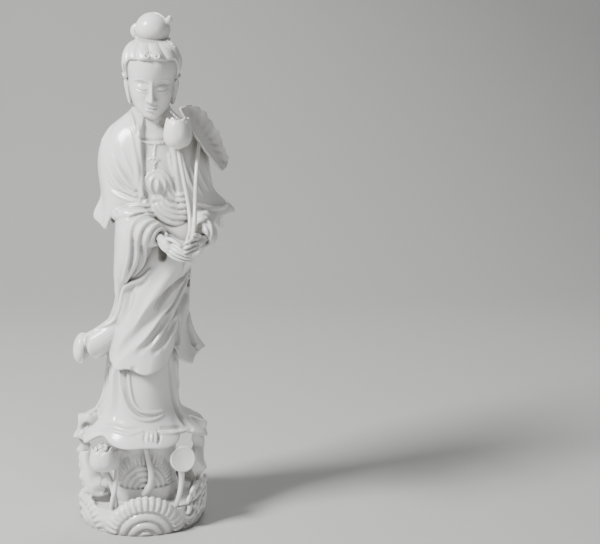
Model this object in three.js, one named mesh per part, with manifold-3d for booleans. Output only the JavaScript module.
// A standing porcelain guanyin on a wave plinth, and the lotus spray that lies in its hands.
// Millimetres, +Z up. The figure faces -Y, its left hand is towards +X, and the origin is the
// centre of the plinth's underside.
import * as THREE from "three";
import { mergeVertices } from "three/addons/utils/BufferGeometryUtils.js";
import Module from "manifold-3d";

const wasm = await Module();
wasm.setup();

// Driving sizes, in millimetres.
const figureHeight = 460; // underside of the plinth to the top of the hair knot
const plinthRadius = 58; // wave wall at the underside
const plinthHeight = 22; // wave wall without its crests
const drumRadius = 38; // inner drum that carries the skirts
const clothThickness = 3; // hems that flare free of the body
const stemRadius = 2.3; // held lotus stems
const budRadius = 12.2; // held lotus bud at its widest
const budHeight = 28;
const leafRadius = 34; // held lotus leaf, laid flat
const leafThickness = 2.2;
const leafRibs = 6;
const sprayGap = 0.5; // the spray lies loose in the hands
const pondStemRadius = 2.4; // lotus plants that grow from the plinth
const pondBudRadius = 11.5;
const seedPodRadius = 11.6;
const wallThickness = 7; // wave wall at its crest

// The figure's pose, proportions and carving are shares of its height: they are written in the
// millimetres of a 460 mm figure, and every form is drawn times this share.
const share = figureHeight / 460;

const { sin, cos, PI, exp, hypot, atan2, min, max, abs, sqrt } = Math;
const rad = (degrees) => (degrees * PI) / 180;
const mix = (a, b, t) => a + (b - a) * t;
const clamp = (x) => min(1, max(0, x));
const ease = (x) => clamp(x) ** 2 * (3 - 2 * clamp(x));
const bump = (x, width) => exp(-((x / width) ** 2));
const wrap = (a) => atan2(sin(a), cos(a));

// A smooth curve through [place, value] rows.
function profile(rows) {
  const slope = rows.map((row, i) => {
    const before = rows[max(0, i - 1)];
    const after = rows[min(rows.length - 1, i + 1)];
    return (after[1] - before[1]) / (after[0] - before[0]);
  });
  return (s) => {
    if (s <= rows[0][0]) return rows[0][1];
    if (s >= rows[rows.length - 1][0]) return rows[rows.length - 1][1];
    const i = rows.findIndex((row) => row[0] > s) - 1;
    const span = rows[i + 1][0] - rows[i][0];
    const t = (s - rows[i][0]) / span;
    const [t2, t3] = [t * t, t * t * t];
    return (
      (2 * t3 - 3 * t2 + 1) * rows[i][1] +
      (t3 - 2 * t2 + t) * span * slope[i] +
      (3 * t2 - 2 * t3) * rows[i + 1][1] +
      (t3 - t2) * span * slope[i + 1]
    );
  };
}

// A closed solid from rings of points: point(angle, t) runs round each ring and down its rows.
function ringSolid(point, columns, rows) {
  const at = [];
  for (let j = 0; j <= rows; j++) {
    for (let i = 0; i < columns; i++) at.push(point((2 * PI * i) / columns, j / rows));
  }
  const face = [];
  const corner = (i, j) => j * columns + (i % columns);
  for (let j = 0; j < rows; j++) {
    for (let i = 0; i < columns; i++) {
      face.push(corner(i, j), corner(i, j + 1), corner(i + 1, j + 1));
      face.push(corner(i, j), corner(i + 1, j + 1), corner(i + 1, j));
    }
  }
  for (const j of [0, rows]) {
    const ring = at.slice(j * columns, (j + 1) * columns);
    at.push([0, 1, 2].map((k) => ring.reduce((sum, p) => sum + p[k], 0) / columns));
    for (let i = 0; i < columns; i++) {
      const pair = j ? [corner(i, j), corner(i + 1, j)] : [corner(i + 1, j), corner(i, j)];
      face.push(...pair.reverse(), at.length - 1);
    }
  }
  return solidOf(at, face);
}

// Points and faces as a solid, turned so that its faces point out.
function solidOf(at, face) {
  let volume = 0;
  for (let f = 0; f < face.length; f += 3) {
    const [a, b, c] = [0, 1, 2].map((k) => new THREE.Vector3(...at[face[f + k]]));
    volume += a.dot(b.cross(c));
  }
  if (volume < 0) face.reverse();
  const drawn = new THREE.BufferGeometry();
  drawn.setAttribute("position", new THREE.Float32BufferAttribute(at.flat(), 3));
  drawn.setIndex(face);
  return toManifold(drawn);
}

function toManifold(geometry) {
  const bare = geometry.clone();
  bare.deleteAttribute("normal");
  bare.deleteAttribute("uv");
  const merged = mergeVertices(bare, 1e-4);
  return new wasm.Manifold(
    new wasm.Mesh({
      numProp: 3,
      vertProperties: new Float32Array(merged.attributes.position.array),
      triVerts: new Uint32Array(merged.index.array),
    }),
  );
}

function toMesh(solid, name, material) {
  const mesh = solid.getMesh();
  const geometry = new THREE.BufferGeometry();
  geometry.setAttribute("position", new THREE.BufferAttribute(mesh.vertProperties, 3));
  geometry.setIndex(new THREE.BufferAttribute(mesh.triVerts, 1));
  const made = new THREE.Mesh(geometry, material);
  made.name = name;
  return made;
}

const joined = (solids) => solids.reduce((sum, solid) => sum.add(solid));

// A tapered round limb along a smooth path. Widths are [share of the path, radius] rows, and
// flat squeezes the section along `side`.
function limb(path, widths, sides, rings, { flat = 1, side = [0, 0, 1] } = {}) {
  const curve = new THREE.CatmullRomCurve3(path.map((p) => new THREE.Vector3(...p)));
  const width = profile(widths);
  const guide = new THREE.Vector3(...side);
  return ringSolid(
    (a, t) => {
      const along = curve.getTangentAt(t);
      const across = new THREE.Vector3().crossVectors(along, guide).normalize();
      const up = new THREE.Vector3().crossVectors(across, along);
      const r = width(t);
      return curve
        .getPointAt(t)
        .addScaledVector(across, r * cos(a))
        .addScaledVector(up, r * flat * sin(a))
        .toArray();
    },
    sides,
    rings,
  );
}

const ROUND = [[0, 0.6], [0.25, 1], [0.75, 1], [1, 0.5]];
const rounded = (radius) => ROUND.map(([t, r]) => [t, r * radius]);

// A ball with its own half-sizes, turned by a matrix.
function ball(centre, half, sides, rings, matrix = new THREE.Matrix4()) {
  const place = new THREE.Vector3();
  return ringSolid(
    (a, t) => {
      const lift = mix(rad(-78), rad(78), t);
      place.set(half[0] * cos(lift) * sin(a), -half[1] * cos(lift) * cos(a), half[2] * sin(lift));
      return place.applyMatrix4(matrix).toArray().map((v, k) => v + centre[k]);
    },
    sides,
    rings,
  );
}

// A garment that hangs round the body. surface(angle, t) is its outer face from the top (t 0)
// to the hem (t 1). The cloth turns under at the hem and runs back up inside to `under`.
function garment(surface, columns, rows, under, thickness) {
  const step = 1e-3;
  const inner = (a, t) => {
    const [here, beside] = [surface(a, t), surface(a + step, t)].map((p) => new THREE.Vector3(...p));
    const above = new THREE.Vector3(...surface(a, t - step));
    const out = new THREE.Vector3().crossVectors(here.clone().sub(above), beside.sub(here));
    return here.addScaledVector(out.normalize(), -thickness).toArray();
  };
  const back = 1;
  const total = rows + 1 + back;
  return ringSolid(
    (a, s) => {
      const j = Math.round(s * total);
      return j <= rows ? surface(a, j / rows) : inner(a, mix(1, under, (j - rows - 1) / back));
    },
    columns,
    total,
  );
}

// A ring's plan: half-width and centre across, and how far it stands to the front and back.
function planPoint(plan, a, out, z) {
  const depth = cos(a) > 0 ? plan.front(z) : plan.back(z);
  const x = plan.middle(z) + (plan.wide(z) + out) * sin(a);
  return [x * share, (plan.deep(z) - (depth + out) * cos(a)) * share, z * share];
}

// Lobes of a hem: where each stands round the body, how wide it is, and how far it goes out and
// down.
const lobesAt = (lobes, a, key) =>
  lobes.reduce((sum, lobe) => sum + lobe[key] * bump(wrap(a - rad(lobe.turn)), rad(lobe.wide)), 0);

// Underskirt: a bell with a ruffled hem that hides the top of the drum.
const skirt = {
  top: 186,
  hem: 85,
  middle: profile([[70, -1], [105, -2], [132, -1], [170, 2]]),
  wide: profile([
    [76, 58], [82, 55], [88, 51], [93, 46], [98, 40.5], [104, 36.5], [112, 34], [124, 32.6], [150, 31],
  ]),
  front: profile([
    [76, 54], [82, 50.5], [88, 47.5], [93, 44], [98, 40.6], [104, 37.6], [112, 35.4], [124, 34], [150, 32],
  ]),
  back: profile([
    [76, 54], [82, 51], [88, 47.5], [93, 43], [98, 39], [104, 36], [112, 33.6], [124, 32], [150, 30],
  ]),
  deep: () => 0,
  lobes: [
    { turn: -14, wide: 20, out: 1, down: 4 },
    { turn: 22, wide: 18, out: 1, down: 4 },
    { turn: 78, wide: 12, out: 6, down: 5 },
    { turn: 98, wide: 8, out: 8, down: -8 },
    { turn: 140, wide: 16, out: 4, down: 4 },
    { turn: -172, wide: 16, out: 4, down: 4 },
    { turn: -140, wide: 14, out: 4, down: 3 },
    { turn: -95, wide: 8, out: 8, down: -8 },
    { turn: -78, wide: 8, out: 7, down: 5 },
    { turn: -60, wide: 8, out: 3, down: 5 },
    { turn: -42, wide: 9, out: -1, down: -4 },
    { turn: 50, wide: 10, out: -2, down: -5 },
  ],
  folds: [-150, -112, -78, -46, -26, 44, 66, 92, 128, 165],
};

function skirtSurface(a, t) {
  const z = mix(skirt.top, skirt.hem - lobesAt(skirt.lobes, a, "down"), t);
  const ruffle = lobesAt(skirt.lobes, a, "out") * ease((t - 0.82) / 0.18);
  const fold = skirt.folds.reduce((sum, turn) => sum + bump(wrap(a - rad(turn)), rad(6)), 0);
  return planPoint(skirt, a, ruffle + 1.8 * fold * ease(t / 0.4) * (1.3 - 0.6 * t), z);
}

// Outer robe: its folds run from the gather at the left hip down and across to the hem, which
// sweeps far out to the right side.
const robe = {
  top: 300,
  hem: 152,
  gatherTurn: 84,
  gather: profile([[150, 0], [175, 0.28], [200, 0.5], [220, 0.74], [240, 0.93], [300, 0.95]]),
  middle: profile([[140, 0], [165, 2], [178, 4], [190, 6.5], [202, 8], [222, 9.5], [240, 10], [300, 13]]),
  wide: profile([[140, 37], [165, 36], [178, 34.5], [190, 33], [202, 32], [222, 31.5], [240, 32], [300, 33]]),
  front: profile([[140, 40], [165, 37], [190, 35], [215, 35], [245, 38], [265, 40], [300, 35]]),
  back: profile([[140, 36], [165, 33], [190, 30], [240, 29], [300, 30]]),
  deep: () => 0,
  lobes: [
    { turn: -38, wide: 13, out: 2, down: 3 },
    { turn: 4, wide: 20, out: 2, down: 6 },
    { turn: 46, wide: 10, out: -2, down: -14 },
    { turn: 70, wide: 10, out: 10, down: 2 },
    { turn: 92, wide: 11, out: 19, down: -9 },
    { turn: 114, wide: 11, out: 12, down: 3 },
    { turn: 150, wide: 16, out: 6, down: 4 },
    { turn: -172, wide: 16, out: 5, down: 3 },
    { turn: -138, wide: 12, out: 7, down: 2 },
    { turn: -114, wide: 10, out: 12, down: 4 },
    { turn: -98, wide: 9, out: 12, down: -6 },
    { turn: -84, wide: 8, out: 8, down: 0 },
    { turn: -66, wide: 8, out: 1, down: -12 },
    { turn: -50, wide: 6, out: 0, down: -2 },
  ],
  folds: [
    { turn: -66, wide: 9, high: 1.6 },
    { turn: -42, wide: 9, high: 2.2 },
    { turn: -18, wide: 8, high: 2.8 },
    { turn: 0, wide: 6, high: 2.8 },
    { turn: 16, wide: 5, high: 2.8 },
    { turn: 32, wide: 6, high: 2.8 },
    { turn: 54, wide: 7, high: 2.6 },
    { turn: 80, wide: 8, high: 2.4 },
    { turn: 110, wide: 8, high: 2.4 },
    { turn: 138, wide: 8, high: 2.2 },
    { turn: 168, wide: 9, high: 2.2 },
    { turn: -162, wide: 9, high: 2.2 },
    { turn: -130, wide: 9, high: 2.2 },
    { turn: -98, wide: 7, high: 2.2 },
  ],
};

function robeSurface(a, t) {
  const z = mix(robe.top, robe.hem - lobesAt(robe.lobes, a, "down"), t);
  const turned = a - robe.gather(z) * sin(a - rad(robe.gatherTurn));
  const flare = lobesAt(robe.lobes, a, "out") * clamp((t - 0.6) / 0.4) ** 2.6;
  const fold = robe.folds.reduce(
    (sum, f) => sum + f.high * bump(wrap(a - rad(f.turn)), rad(f.wide)),
    0,
  );
  return planPoint(robe, turned, flare + fold * ease(t / 0.3) * (1 - 0.5 * ease((t - 0.6) / 0.4)), z);
}

// Rolled cloth on the robe: a lobe seen end-on at the hem's right corner, the roll that runs down
// to it, and the drape that falls from the left hip across the front.
const robeRolls = () => [
  ball(scaled([-55.4, -10, 161.5]), scaled([6.6, 12, 13.6]), 10, 6),
  limb(
    [[-14, -10, 196], [-30, -14, 181], [-42, -12, 169], [-51, -11, 162]].map(scaled),
    [[0, 12 * share], [1, 9.5 * share]],
    10,
    5,
    { side: [0, 1, 0] },
  ),
  limb(
    [[46, -44, 266], [33, -35, 246], [18, -26, 221], [2, -20, 196], [-12, -14, 172]].map(scaled),
    [[0, 14 * share], [0.4, 17 * share], [1, 20 * share]],
    10,
    6,
    { side: [0, 1, 0] },
  ),
];

// Mantle: it covers the shoulders and upper arms, is open down the chest, and flares to a point
// at each elbow.
const mantle = {
  top: 384,
  hem: 283,
  middle: profile([[268, 17], [295, 15], [324, 11], [352, 9], [372, 8], [384, 8]]),
  wide: profile([
    [268, 48], [283, 49.5], [300, 49.5], [324, 49], [338, 48], [350, 44], [360, 37], [368, 27], [376, 18],
    [384, 14],
  ]),
  front: profile([[268, 40], [300, 37], [324, 35], [345, 30], [360, 24], [372, 17], [384, 13]]),
  back: profile([[268, 32], [300, 32], [324, 32], [345, 29], [360, 24], [372, 19], [384, 15]]),
  deep: () => 0,
  lobes: [
    { turn: -98, wide: 11, out: 9, down: 2 },
    { turn: -79, wide: 13, out: 3, down: 12 },
    { turn: -38, wide: 20, out: 0, down: -9 },
    { turn: 62, wide: 14, out: 3, down: 4 },
    { turn: 88, wide: 9, out: 17, down: -4 },
    { turn: 108, wide: 9, out: 9, down: 14 },
    { turn: 150, wide: 16, out: 4, down: 12 },
    { turn: -168, wide: 16, out: 4, down: 12 },
    { turn: -126, wide: 14, out: 3, down: 10 },
  ],
  openLeft: -16,
  openRight: 22,
};

function mantleSurface(a, t) {
  const z = mix(mantle.top, mantle.hem - lobesAt(mantle.lobes, a, "down"), t);
  const flare = lobesAt(mantle.lobes, a, "out") * ease((t - 0.74) / 0.26) ** 1.5;
  const turn = (wrap(a) * 180) / PI;
  const inside = ease((turn - mantle.openLeft) / 6) * ease((mantle.openRight - turn) / 6);
  const lapels = bump(turn - mantle.openLeft + 3, 4) + bump(turn - mantle.openRight - 3, 4);
  const swags = [0, 1, 2].reduce(
    (sum, k) => sum + bump(turn + 62 - 17 * k + 40 * (1 - t) ** 1.2 * (1 - k / 3), 5),
    0,
  );
  const out = flare - 4.5 * inside + 1.4 * lapels + 1.6 * swags * ease((t - 0.35) / 0.3);
  return planPoint(mantle, a, out, z);
}

// Chest and belly inside the mantle, up to the straight neckline of the inner dress. Below the
// sash its cloth hangs in curved folds.
const torso = {
  middle: profile([[240, 14], [262, 16], [280, 16], [310, 12], [352, 8.5]]),
  wide: profile([[240, 30], [280, 38], [310, 36], [335, 31], [352, 22]]),
  front: profile([[240, 36], [262, 43], [280, 40], [300, 35], [320, 32], [335, 28.5], [352, 21]]),
  back: profile([[240, 26], [280, 27], [310, 27], [352, 20]]),
  deep: () => 0,
};

function torsoSurface(a, t) {
  const z = mix(352, 240, t);
  const turn = wrap(a);
  const fall = z + 13 * turn * turn - 8 * turn;
  const swag = 1.8 * sin(fall / 1.75) * bump(z - 282, 15) * bump(turn - 0.35, 0.6);
  return planPoint(torso, a, swag, z);
}

// Neck and the bare skin above the neckline.
const neck = () =>
  limb(
    [[9, 3, 334], [8.5, -4, 352], [8, -6, 368], [8, -7, 388]].map((p) => p.map((v) => v * share)),
    [[0, 24], [0.3, 17], [0.6, 12.5], [1, 12]].map(([t, r]) => [t, r * share]),
    14,
    4,
    { side: [0, 1, 0] },
  );

// Head: level slices in the head's own frame, then bowed forward. Face sizes are the usual
// shares of a head: eyes half-way, and nose, lips and chin in thirds below the brow.
const head = {
  bow: rad(15),
  place: [7.8, -8, 398.5],
  bottom: -27,
  top: 39,
  wide: profile([
    [-27, 6], [-24, 11.2], [-19, 15.2], [-12, 17.6], [-5, 18.9], [2, 19.8], [9, 21], [20, 23], [26, 22.3],
    [32, 19.3], [36, 15.3], [39, 9],
  ]),
  front: profile([
    [-27, 18.6], [-24, 22.2], [-18, 24], [-8, 24.6], [4, 25], [14, 26], [22, 25.2], [28, 22.6], [33, 18.6],
    [39, 9],
  ]),
  back: profile([[-27, 6], [-22, 14], [-15, 21], [-6, 26], [4, 29], [14, 29], [24, 25], [31, 19], [39, 7]]),
  hairline: 27,
};
const headColumns = 22;

function headSurface(a, t) {
  const z = mix(head.top, head.bottom, t);
  const side = sin(a);
  const forward = cos(a);
  const across = head.wide(z) * side;
  const faceOn = ease(forward * 1.6);
  const nose = 5.4 * bump(across, 3.2) * ease((13 - z) / 18) * ease((z + 10.5) / 3);
  const sockets = -2.4 * bump(abs(across) - 9, 5) * bump(z - 5.4, 4.2);
  const lids = 1.8 * bump(abs(across) - 9, 4) * bump(z - 2, 2.8);
  const lips = 1.9 * bump(across, 5) * bump(z + 14.8, 3);
  const chin = 1.8 * bump(across, 6.5) * bump(z + 22.4, 3.4);
  const hairEdge = head.hairline - 42 * ease((abs(wrap(a)) - rad(50)) / rad(50));
  const hair = ease((z - hairEdge) / 3.5) * 2.4;
  const locks = 1.2 * cos((a * headColumns) / 2) * clamp(hair / 2.4) * ease((z - 8) / 8);
  const out = faceOn * (nose + sockets + lids + lips + chin) + hair + locks;
  const depth = forward > 0 ? head.front(z) : head.back(z);
  const x = across + out * side;
  const y = -(depth + out) * forward;
  return placeHead(x, y, z);
}

function placeHead(x, y, z) {
  const [c, s] = [cos(head.bow), sin(head.bow)];
  const [px, py, pz] = head.place;
  return [(px + x) * share, (py + y * c - z * s) * share, (pz + y * s + z * c) * share];
}

// Hair knot with its plait ring, the side coil and the small knob, in the head's frame.
function hairKnot() {
  const ballAt = (x, y, z, half, sides, rings) =>
    ball(placeHead(x, y, z), half.map((v) => v * share), sides, rings);
  return [
    ballAt(1.2, 9, 47.6, [15, 14.8, 13.4], 12, 6),
    ballAt(1, 8.5, 38.4, [17, 17, 3.8], 12, 3),
    ballAt(-12, 9, 43, [5.5, 6, 7], 6, 3),
    ballAt(16, 5.8, 55.4, [4.2, 4, 4], 6, 3),
  ];
}

// Long-lobed ears at the edge of the hair.
function ear(side) {
  const lobe = [[21.4, 1, 9], [22.8, 1, 4], [21, -1, -6], [19, -2.6, -15.5]];
  return limb(
    lobe.map(([x, y, z]) => placeHead(side * x, y, z)),
    [[0, 2], [0.25, 4.4], [0.6, 3.4], [1, 2.6]].map(([t, r]) => [t, r * share]),
    6,
    4,
    { flat: 0.6, side: [side, 0, 0] },
  );
}

// Wide sleeves. Each is drawn in level slices from the forearm down to where its cloth ends on
// the robe, with pleats that swing round the wrist.
const rightSleeve = {
  top: 289,
  hem: 206,
  middle: profile([[206, -20], [222, -16.5], [232, -13], [247, -8], [262, -5], [274, -3.2], [289, -6]]),
  wide: profile([
    [206, 3], [222, 8.5], [232, 12.5], [247, 17], [262, 19.5], [274, 20.8], [284, 20], [289, 14],
  ]),
  front: profile([
    [206, 4], [222, 11], [232, 19], [247, 30], [262, 35], [270, 36], [278, 31], [284, 23], [289, 14],
  ]),
  back: profile([[206, 6], [222, 10], [247, 12], [289, 14]]),
  deep: profile([[216, -12], [240, -15], [289, -19]]),
  pleats: 10,
  swing: 1.2,
};
const leftSleeve = {
  top: 290,
  hem: 232,
  middle: profile([[232, 33], [248, 40], [262, 46], [276, 50], [290, 49]]),
  wide: profile([[232, 4], [240, 7], [248, 9.5], [262, 13.5], [276, 14], [290, 10]]),
  front: profile([[232, 24], [248, 33], [262, 39], [269, 40], [278, 34], [285, 26], [290, 16]]),
  back: profile([[232, 10], [262, 13], [290, 14]]),
  deep: profile([[232, -12], [290, -16]]),
  pleats: 9,
  swing: -1.2,
};

const sleeveSurface = (cloth) => (a, t) => {
  const z = mix(cloth.top, cloth.hem, t);
  const turn = wrap(a);
  const swung = cloth.pleats * turn + cloth.swing * 5 * (1 - t) ** 2;
  const pleat = 1.6 * cos(swung) * ease(t * 4) * bump(turn, 1.6);
  return planPoint(cloth, a, pleat, z);
};

// Forearms inside the sleeves, down to the wrists.
const rightArm = [[-12, -30, 274], [0, -44, 274], [9, -53, 273], [15, -59, 271]];
const leftArm = [[50, -26, 271], [52, -42, 271.5], [52, -53, 271], [50.6, -60, 270]];
const forearm = (path, widths) =>
  limb(path.map(scaled), widths.map(([t, r]) => [t, r * share]), 10, 5, { side: [0, 0, 1] });

const scaled = (p) => p.map((v) => v * share);
const mixed = (p, q, t) => p.map((v, k) => mix(v, q[k], t));

// Hands: a palm, four fingers and a thumb each. The right hand lies open below and the left
// closes over the stems.
function hand({ wrist, palm, tips, thumb, width }) {
  const widths = [[0, 4.6 * share], [0.5, 5.6 * share], [1, 5 * share]];
  const back = [wrist, mixed(wrist, palm, 0.5), palm].map(scaled);
  const made = [limb(back, widths, 6, 2, { flat: 0.6, side: width })];
  for (const points of [...tips, thumb]) {
    made.push(limb(points.map(scaled), rounded(2.3 * share), 4, 2, { side: width }));
  }
  return made;
}

const rightHand = () =>
  hand({
    wrist: [15, -60, 271],
    palm: [24.5, -70, 262.5],
    width: [0.5, 0.6, 0.6],
    tips: [0, 1, 2, 3].map((k) => [
      [23 - k, -69.4 + 0.7 * k, 266.5 - 2.1 * k],
      [28.5 - 1.1 * k, -75 + 1.1 * k, 266 - 3 * k],
      [37 + 1.4 * k, -79 + 1.4 * k, 261.6 - 2.7 * k],
    ]),
    thumb: [[18.5, -64, 271], [23.5, -70, 271.5], [33, -77, 266.6]],
  });

const leftHand = () =>
  hand({
    wrist: [51, -61, 270],
    palm: [45.5, -71, 267],
    width: [0.6, 0.3, 0.7],
    tips: [0, 1, 2, 3].map((k) => [
      [46.5, -70, 271 - 2.6 * k],
      [43 - 0.5 * k, -78.6 + 0.5 * k, 272.6 - 3.7 * k],
      [34.4, -81 + 0.7 * k, 269.6 - 3.6 * k],
    ]),
    thumb: [[49, -65, 272], [46, -73, 275], [40, -80, 275.6]],
  });

// The knot of the sash at the waist: petals of cloth that stand round a bud.
function sashKnot() {
  const petal = (k) =>
    limb(
      [[9 + 2 * k, -34, 299], [9 + 5.6 * k, -37.5, 308], [9 + 4 * k, -32, 319 - 2 * abs(k)]].map(scaled),
      rounded(4.4 * share),
      5,
      3,
      { flat: 0.8, side: [0, 1, 0] },
    );
  return [-1.5, 0, 1.5].map(petal);
}

// Plinth: a wave wall with scalloped crests, a deck behind it, and the drum on the deck.
const waves = [
  { turn: 2, wide: 42, high: 15 },
  { turn: 72, wide: 36, high: 8 },
  { turn: 126, wide: 30, high: 9 },
  { turn: 180, wide: 30, high: 13 },
  { turn: -126, wide: 30, high: 9 },
  { turn: -72, wide: 36, high: 7 },
];
const scallops = 16; // crest tongues round the whole wall
const ringRadii = [13, 21.8]; // raised arcs of each wave
const drumRadii = [8.2, 13.7, 19.2]; // raised arcs on the drum
const ringCentre = -3; // below the underside, so that each arc is less than a half ring

// Height that the wave crests add to the wall at an angle.
function crest(a) {
  const arch = (wave) => {
    const x = wrap(a - rad(wave.turn)) / rad(wave.wide);
    return wave.high * sqrt(max(0, 1 - x * x));
  };
  return max(0, ...waves.map(arch)) + 1.1 * cos(scallops * a);
}

function plinthWall() {
  const section = [[0, 0], [0, 1], [-wallThickness, 1], [-wallThickness, 0]];
  return ringSolid(
    (a, t) => {
      const [inwards, up] = section[Math.round(t * (section.length - 1))];
      const z = inwards && !up ? plinthHeight - 6 : up * (plinthHeight + crest(a));
      const r = plinthRadius + inwards + (up ? 1 : 0);
      return [r * sin(a), -r * cos(a), z];
    },
    4 * scallops,
    section.length - 1,
  );
}

// A raised arc laid on an upright cylinder, over the angle `turn`.
function arc(turn, centre, radius, cylinder) {
  const from = centre < 1.4 ? Math.asin((1.4 - centre) / radius) : 0;
  const path = [0, 1, 2, 3, 4].map((k) => {
    const swing = mix(from, PI - from, k / 4);
    const z = centre + radius * sin(swing);
    const a = rad(turn) - (radius * cos(swing)) / cylinder;
    return [cylinder * sin(a), -cylinder * cos(a), z];
  });
  return limb(path, [[0, 1.4], [1, 1.4]], 3, 4, { side: [sin(rad(turn)), -cos(rad(turn)), 0] });
}

// Raised rings of the larger waves on the wall, both on the front one, and the same pattern on the
// drum's front.
const waveArcs = () => [
  ...waves
    .filter((wave) => wave.wide > 30)
    .flatMap(({ turn, wide }) =>
      ringRadii
        .slice(wide > 40 ? 0 : 1)
        .map((radius) => arc(turn, ringCentre, radius, plinthRadius + 0.6)),
    ),
  ...drumRadii.map((radius) => arc(3, 35, radius, drumRadius)),
];

// The drum narrows above the skirt's ceiling and ends well inside its clay.
const skirtCeiling = (skirt.hem + 12) * share;
const drumTop = skirtCeiling + 12 * share;

const drum = () =>
  toManifold(
    new THREE.LatheGeometry(
      [
        [0, 0],
        [plinthRadius - 2, 0],
        [plinthRadius - 2, plinthHeight - 1],
        [drumRadius, plinthHeight - 1],
        [drumRadius - 2, skirtCeiling],
        [drumRadius * 0.7, drumTop],
        [0, drumTop],
      ].map(([r, z]) => new THREE.Vector2(r, z)),
      24,
    ).rotateX(PI / 2),
  );

// Lotus plants that grow between the wall and the drum. Places are a turn round the plinth, a
// distance out from the middle of the pond, and a share of the height from the deck to the skirt.
const deck = plinthHeight - 1;
const pondRadius = (plinthRadius - wallThickness + drumRadius) / 2 + 1;

function onPond(turn, out, rise) {
  const r = pondRadius + out;
  return [r * sin(rad(turn)), -r * cos(rad(turn)), mix(deck, skirtCeiling, rise)];
}

const stem = (points) =>
  limb(points, [[0, pondStemRadius], [1, pondStemRadius]], 4, 4, { side: [1, 0.2, 0.1] });

function flowerStem(turn, rise, bend, below) {
  const [x, y, z] = onPond(turn, 7, rise);
  return stem([onPond(turn + bend, 2, -0.06), onPond(turn + bend * 0.8, 4, 0.14), [x, y, z - below]]);
}

const pondBud = (turn, rise) => [
  ball(onPond(turn, 7, rise), [pondBudRadius, pondBudRadius, pondBudRadius * 1.2], 10, 5),
  flowerStem(turn, rise, 12, pondBudRadius * 0.6),
];

function seedPod(turn, rise) {
  const outline = [[0, -1.1], [0.25, -1.05], [0.9, -0.2], [1, 0], [0.95, 0.12], [0, 0.12]].map(
    ([r, y]) => new THREE.Vector2(r * seedPodRadius, y * seedPodRadius),
  );
  const pod = new THREE.LatheGeometry(outline, 12);
  pod.rotateX(PI / 2).rotateX(rad(62)).rotateZ(rad(turn - 25)).translate(...onPond(turn, 11, rise));
  return [toManifold(pod), flowerStem(turn, rise, -9, seedPodRadius * 0.4)];
}

// A leaf that stands or hangs on the plinth: a bent blade whose face is turned to `facing`.
function pondLeaf(foot, tip, half, facing) {
  const face = [sin(rad(facing)), -cos(rad(facing)), 0];
  const middle = mixed(foot, tip, 0.5).map((v, k) => v + 3 * face[k]);
  return limb([foot, middle, tip], [[0, 3], [0.3, half * 0.8], [0.7, half], [1, 4]], 6, 4, {
    flat: 0.26,
    side: face,
  });
}

const pondPlants = () => [
  ...pondBud(-41, 0.57),
  ...seedPod(40, 0.6),
  stem([onPond(4, -7, 0.2), onPond(12, -6, 0.36), onPond(9, -7, 0.54), onPond(0, -9, 1.03)]),
  pondLeaf(onPond(-72, 3, -0.04), onPond(-76, 7, 0.6), 11, -30),
  pondLeaf(onPond(-98, -2, -0.04), onPond(-97, 3, 0.8), 8, -30),
  pondLeaf(onPond(66, 3, -0.04), onPond(80, 8, 0.74), 7.5, 50),
  pondLeaf(onPond(150, 2, -0.04), onPond(152, 2, 0.74), 12, 150),
  pondLeaf(onPond(-150, 2, -0.04), onPond(-152, 2, 0.74), 12, -150),
];

// The held spray: a bud and a folded leaf on two stems that meet in the hands.
const grip = [39, -77, 270];
const budFoot = [30, -38, 345];
const leafHeart = [48.5, -29, 351];

function heldStem(foot, bends, grow) {
  const end = [grip[0] - 1.5, grip[1] - 2, grip[2] - 6];
  const r = stemRadius + grow;
  return limb([end, grip, ...bends, foot].map(scaled), [[0, r], [1, r]], 5, 10, { side: [1, 0, 0] });
}

function heldBud(grow) {
  const outline = [
    [0, 0], [0.3, 0.01], [0.78, 0.12], [1, 0.36], [0.93, 0.64], [0.7, 1], [0.5, 0.96], [0, 0.8],
  ].map(([r, h]) => new THREE.Vector2(r * (budRadius + grow), h * (budHeight + grow) - grow));
  const bud = new THREE.LatheGeometry(outline, 12).rotateX(PI / 2);
  const [x, y, z] = budFoot.map((v) => v * share);
  return toManifold(bud.translate(x, y, z - 1));
}

// The leaf is a round blade folded along its middle: the near half is the narrower one, and the
// far half shows beyond its rim.
const crease = new THREE.Vector3(36, 10, -53).normalize();
const nearRun = new THREE.Vector3(17.5, 22.5, 7).normalize();
const nearSkin = new THREE.Vector3().crossVectors(crease, nearRun).normalize();
const farRun = nearRun.clone().addScaledVector(nearSkin, -0.22).normalize();

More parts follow.
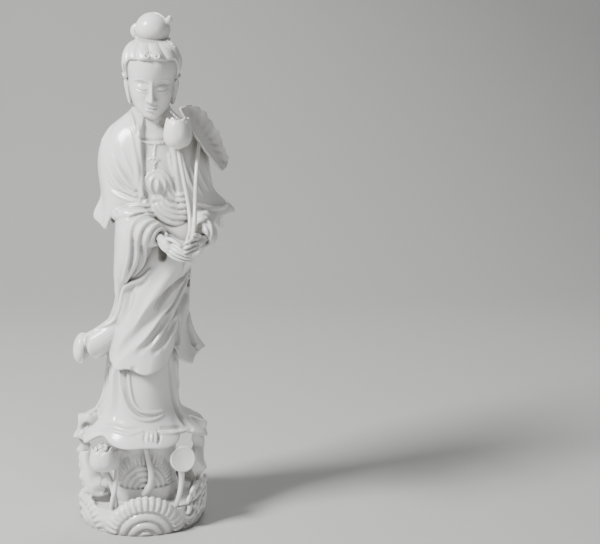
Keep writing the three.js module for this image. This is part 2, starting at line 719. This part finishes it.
function heldLeaf(grow) {
  const heart = new THREE.Vector3(...scaled(leafHeart));
  const half = leafThickness / 2 + grow;
  const between = nearRun.clone().add(farRun).normalize();
  const [near, far] = [leafRadius * 0.82 + grow, leafRadius * 1.06 + grow];
  // Round one cross-section: the way out from the crease, how far, and the offset along the skin.
  const section = [
    [between, -1 - grow, 0],
    [nearRun, near * 0.5, half],
    [nearRun, near, half * 0.8],
    [nearRun, near, -half * 0.8],
    [between, near * 0.36, 0],
    [farRun, far, half * 0.8],
    [farRun, far, -half * 0.8],
    [farRun, far * 0.5, -half],
  ];
  return ringSolid(
    (a, t) => {
      const [run, reach, off] = section[Math.round((a / (2 * PI)) * section.length)];
      const swing = mix(-1.5, 1.5, t);
      const polar = atan2(sin(swing), (reach / far) * cos(swing) + 0.05);
      const ripple = off ? 1.2 * (reach / far) ** 2 * sin(2 * leafRibs * polar) : 0;
      return heart
        .clone()
        .addScaledVector(crease, (leafRadius + grow) * sin(swing))
        .addScaledVector(run, reach * (reach > 0 ? cos(swing) ** 0.8 : 1) + 3 * sin(swing) ** 2)
        .addScaledVector(nearSkin, off + ripple)
        .toArray();
    },
    section.length,
    14,
  );
}

const budStem = [[41.5, -62, 279], [41, -51, 296], [36, -44, 322]];
const leafStem = [[44, -63, 280], [45, -52, 297], [45.5, -44, 320]];

const spray = (grow) =>
  joined([
    heldStem([budFoot[0], budFoot[1], budFoot[2] + 1], budStem, grow),
    heldStem(leafHeart, leafStem, grow),
    heldBud(grow),
    heldLeaf(grow),
  ]);

const figureParts = [
  garment(skirtSurface, 32, 5, 0.86, clothThickness),
  garment(robeSurface, 36, 9, 0.84, clothThickness),
  ...robeRolls(),
  garment(mantleSurface, 32, 7, 0.8, clothThickness),
  ringSolid(torsoSurface, 14, 8),
  neck(),
  ringSolid(headSurface, headColumns, 12),
  ...hairKnot(),
  ear(-1),
  ear(1),
  ringSolid(sleeveSurface(rightSleeve), 22, 7),
  ringSolid(sleeveSurface(leftSleeve), 18, 5),
  forearm(rightArm, [[0, 16], [0.4, 15], [0.75, 11.6], [1, 7.5]]),
  forearm(leftArm, [[0, 13], [0.5, 13], [0.8, 11], [1, 7]]),
  ...rightHand(),
  ...leftHand(),
  ...sashKnot(),
  plinthWall(),
  drum(),
  ...waveArcs(),
  ...pondPlants(),
];

const porcelain = new THREE.MeshStandardMaterial({ color: 0xe9e9e6, roughness: 0.12, metalness: 0 });
const ivoryPorcelain = new THREE.MeshStandardMaterial({ color: 0xe9e8dd, roughness: 0.14, metalness: 0 });

const group = new THREE.Group();
group.add(toMesh(joined(figureParts).subtract(spray(sprayGap)), "guanyin_on_wave_plinth", porcelain));
group.add(toMesh(spray(0), "lotus_spray", ivoryPorcelain));

export default group;
